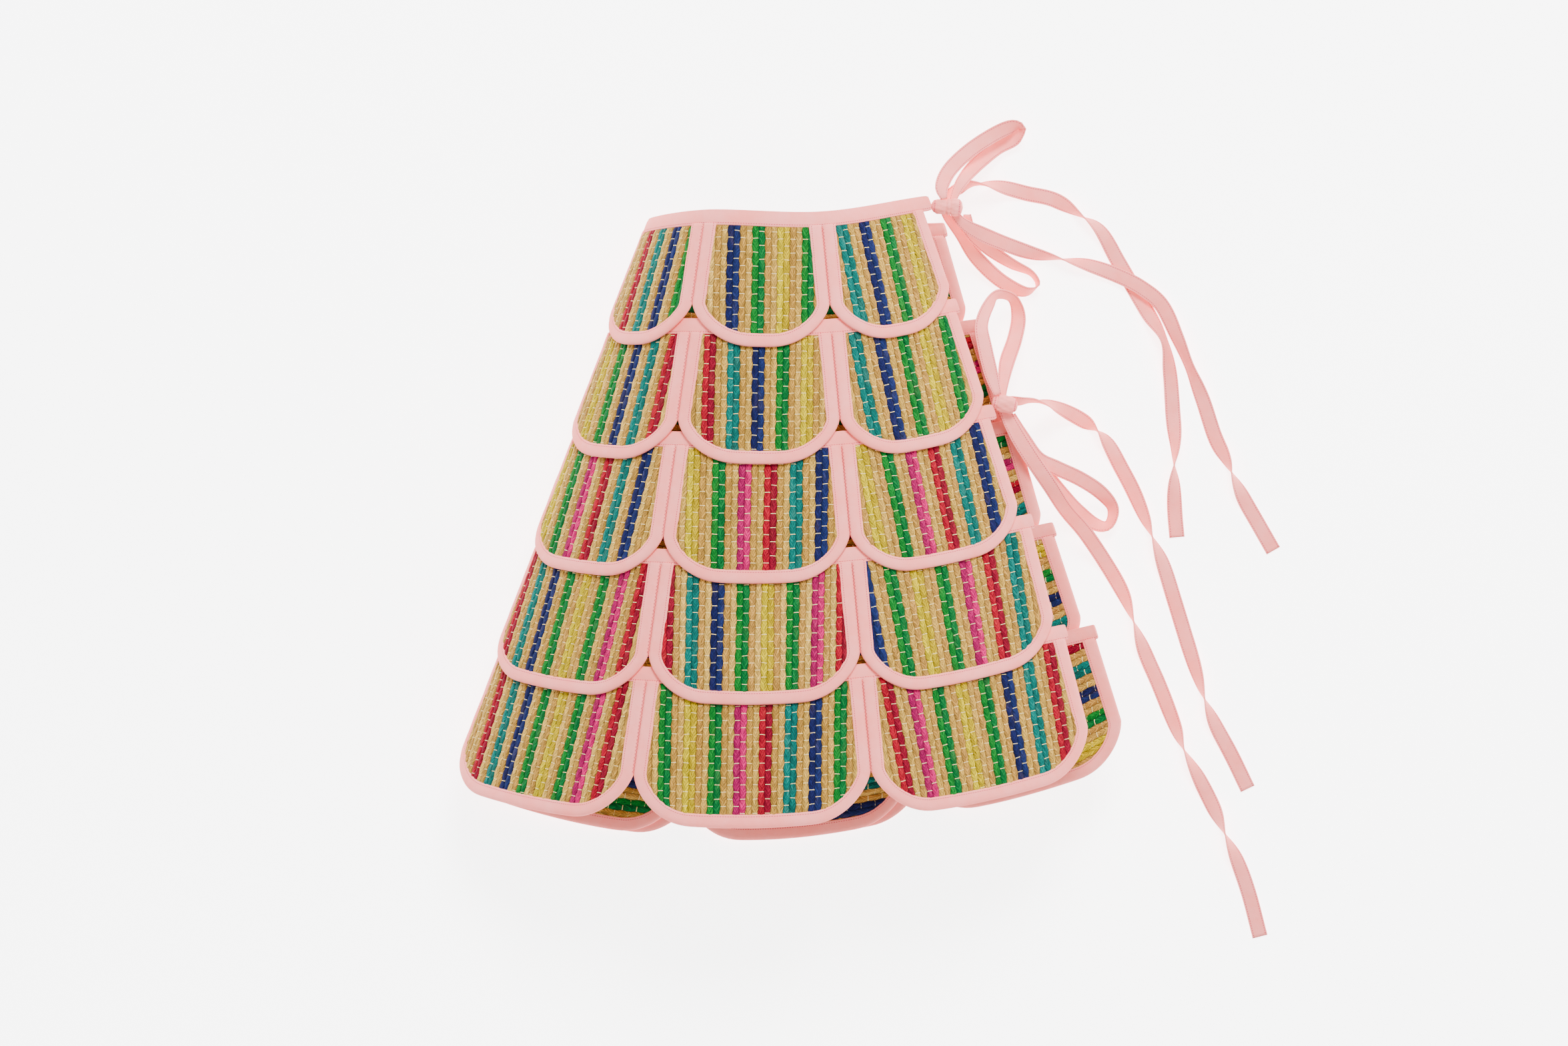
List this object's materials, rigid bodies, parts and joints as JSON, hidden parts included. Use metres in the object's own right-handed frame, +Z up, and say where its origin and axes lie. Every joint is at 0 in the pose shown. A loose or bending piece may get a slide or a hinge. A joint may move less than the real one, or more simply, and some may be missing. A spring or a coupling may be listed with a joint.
{
  "type": "scalloped straw wrap skirt with side ties",
  "caption": "Tiered straw wrap skirt of scalloped striped tiles with pink bound edges and tied side bows, lying open as a tube.",
  "frame": {"origin": "middle of the skirt's footprint on the surface it lies on, ties included", "axes": "+Z up, the waist towards +Y, the tied open side towards +X"},
  "size_m": [0.7964, 0.7968, 0.2172],
  "materials": {
    "straw": "sewn plaited straw with coloured stripes",
    "straw_back": "sewn plaited straw with coloured stripes and a pink bound edge",
    "pink_binding": "matt cotton bias tape",
    "pink_band": "matt cotton tape",
    "pink_tape": "matt cotton tie tape"
  },
  "bodies": {
    "root": {"back_tile_1_centre": "straw_back", "back_tile_1_left": "straw_back", "back_tile_1_right": "straw_back", "back_tile_2_centre": "straw_back", "back_tile_2_left": "straw_back", "back_tile_2_right": "straw_back", "back_tile_3_centre": "straw_back", "back_tile_3_left": "straw_back", "back_tile_3_right": "straw_back", "back_tile_4_centre": "straw_back", "back_tile_4_left": "straw_back", "back_tile_4_right": "straw_back", "back_tile_5_centre": "straw_back", "back_tile_5_left": "straw_back", "back_tile_5_right": "straw_back", "band_1": "pink_band", "band_2": "pink_band", "band_3": "pink_band", "band_4": "pink_band", "band_5": "pink_band", "front_binding_1_centre": "pink_binding", "front_binding_1_left": "pink_binding", "front_binding_1_right": "pink_binding", "front_binding_2_centre": "pink_binding", "front_binding_2_left": "pink_binding", "front_binding_2_right": "pink_binding", "front_binding_3_centre": "pink_binding", "front_binding_3_left": "pink_binding", "front_binding_3_right": "pink_binding", "front_binding_4_centre": "pink_binding", "front_binding_4_left": "pink_binding", "front_binding_4_right": "pink_binding", "front_binding_5_centre": "pink_binding", "front_binding_5_left": "pink_binding", "front_binding_5_right": "pink_binding", "front_mat_1_centre": "straw", "front_mat_1_left": "straw", "front_mat_1_right": "straw", "front_mat_2_centre": "straw", "front_mat_2_left": "straw", "front_mat_2_right": "straw", "front_mat_3_centre": "straw", "front_mat_3_left": "straw", "front_mat_3_right": "straw", "front_mat_4_centre": "straw", "front_mat_4_left": "straw", "front_mat_4_right": "straw", "front_mat_5_centre": "straw", "front_mat_5_left": "straw", "front_mat_5_right": "straw", "side_knot": "pink_tape", "side_tie_a": "pink_tape", "side_tie_b": "pink_tape", "under_row": "straw_back", "waist_knot": "pink_tape", "waist_tie_a": "pink_tape", "waist_tie_b": "pink_tape"}
  },
  "joints": []
}
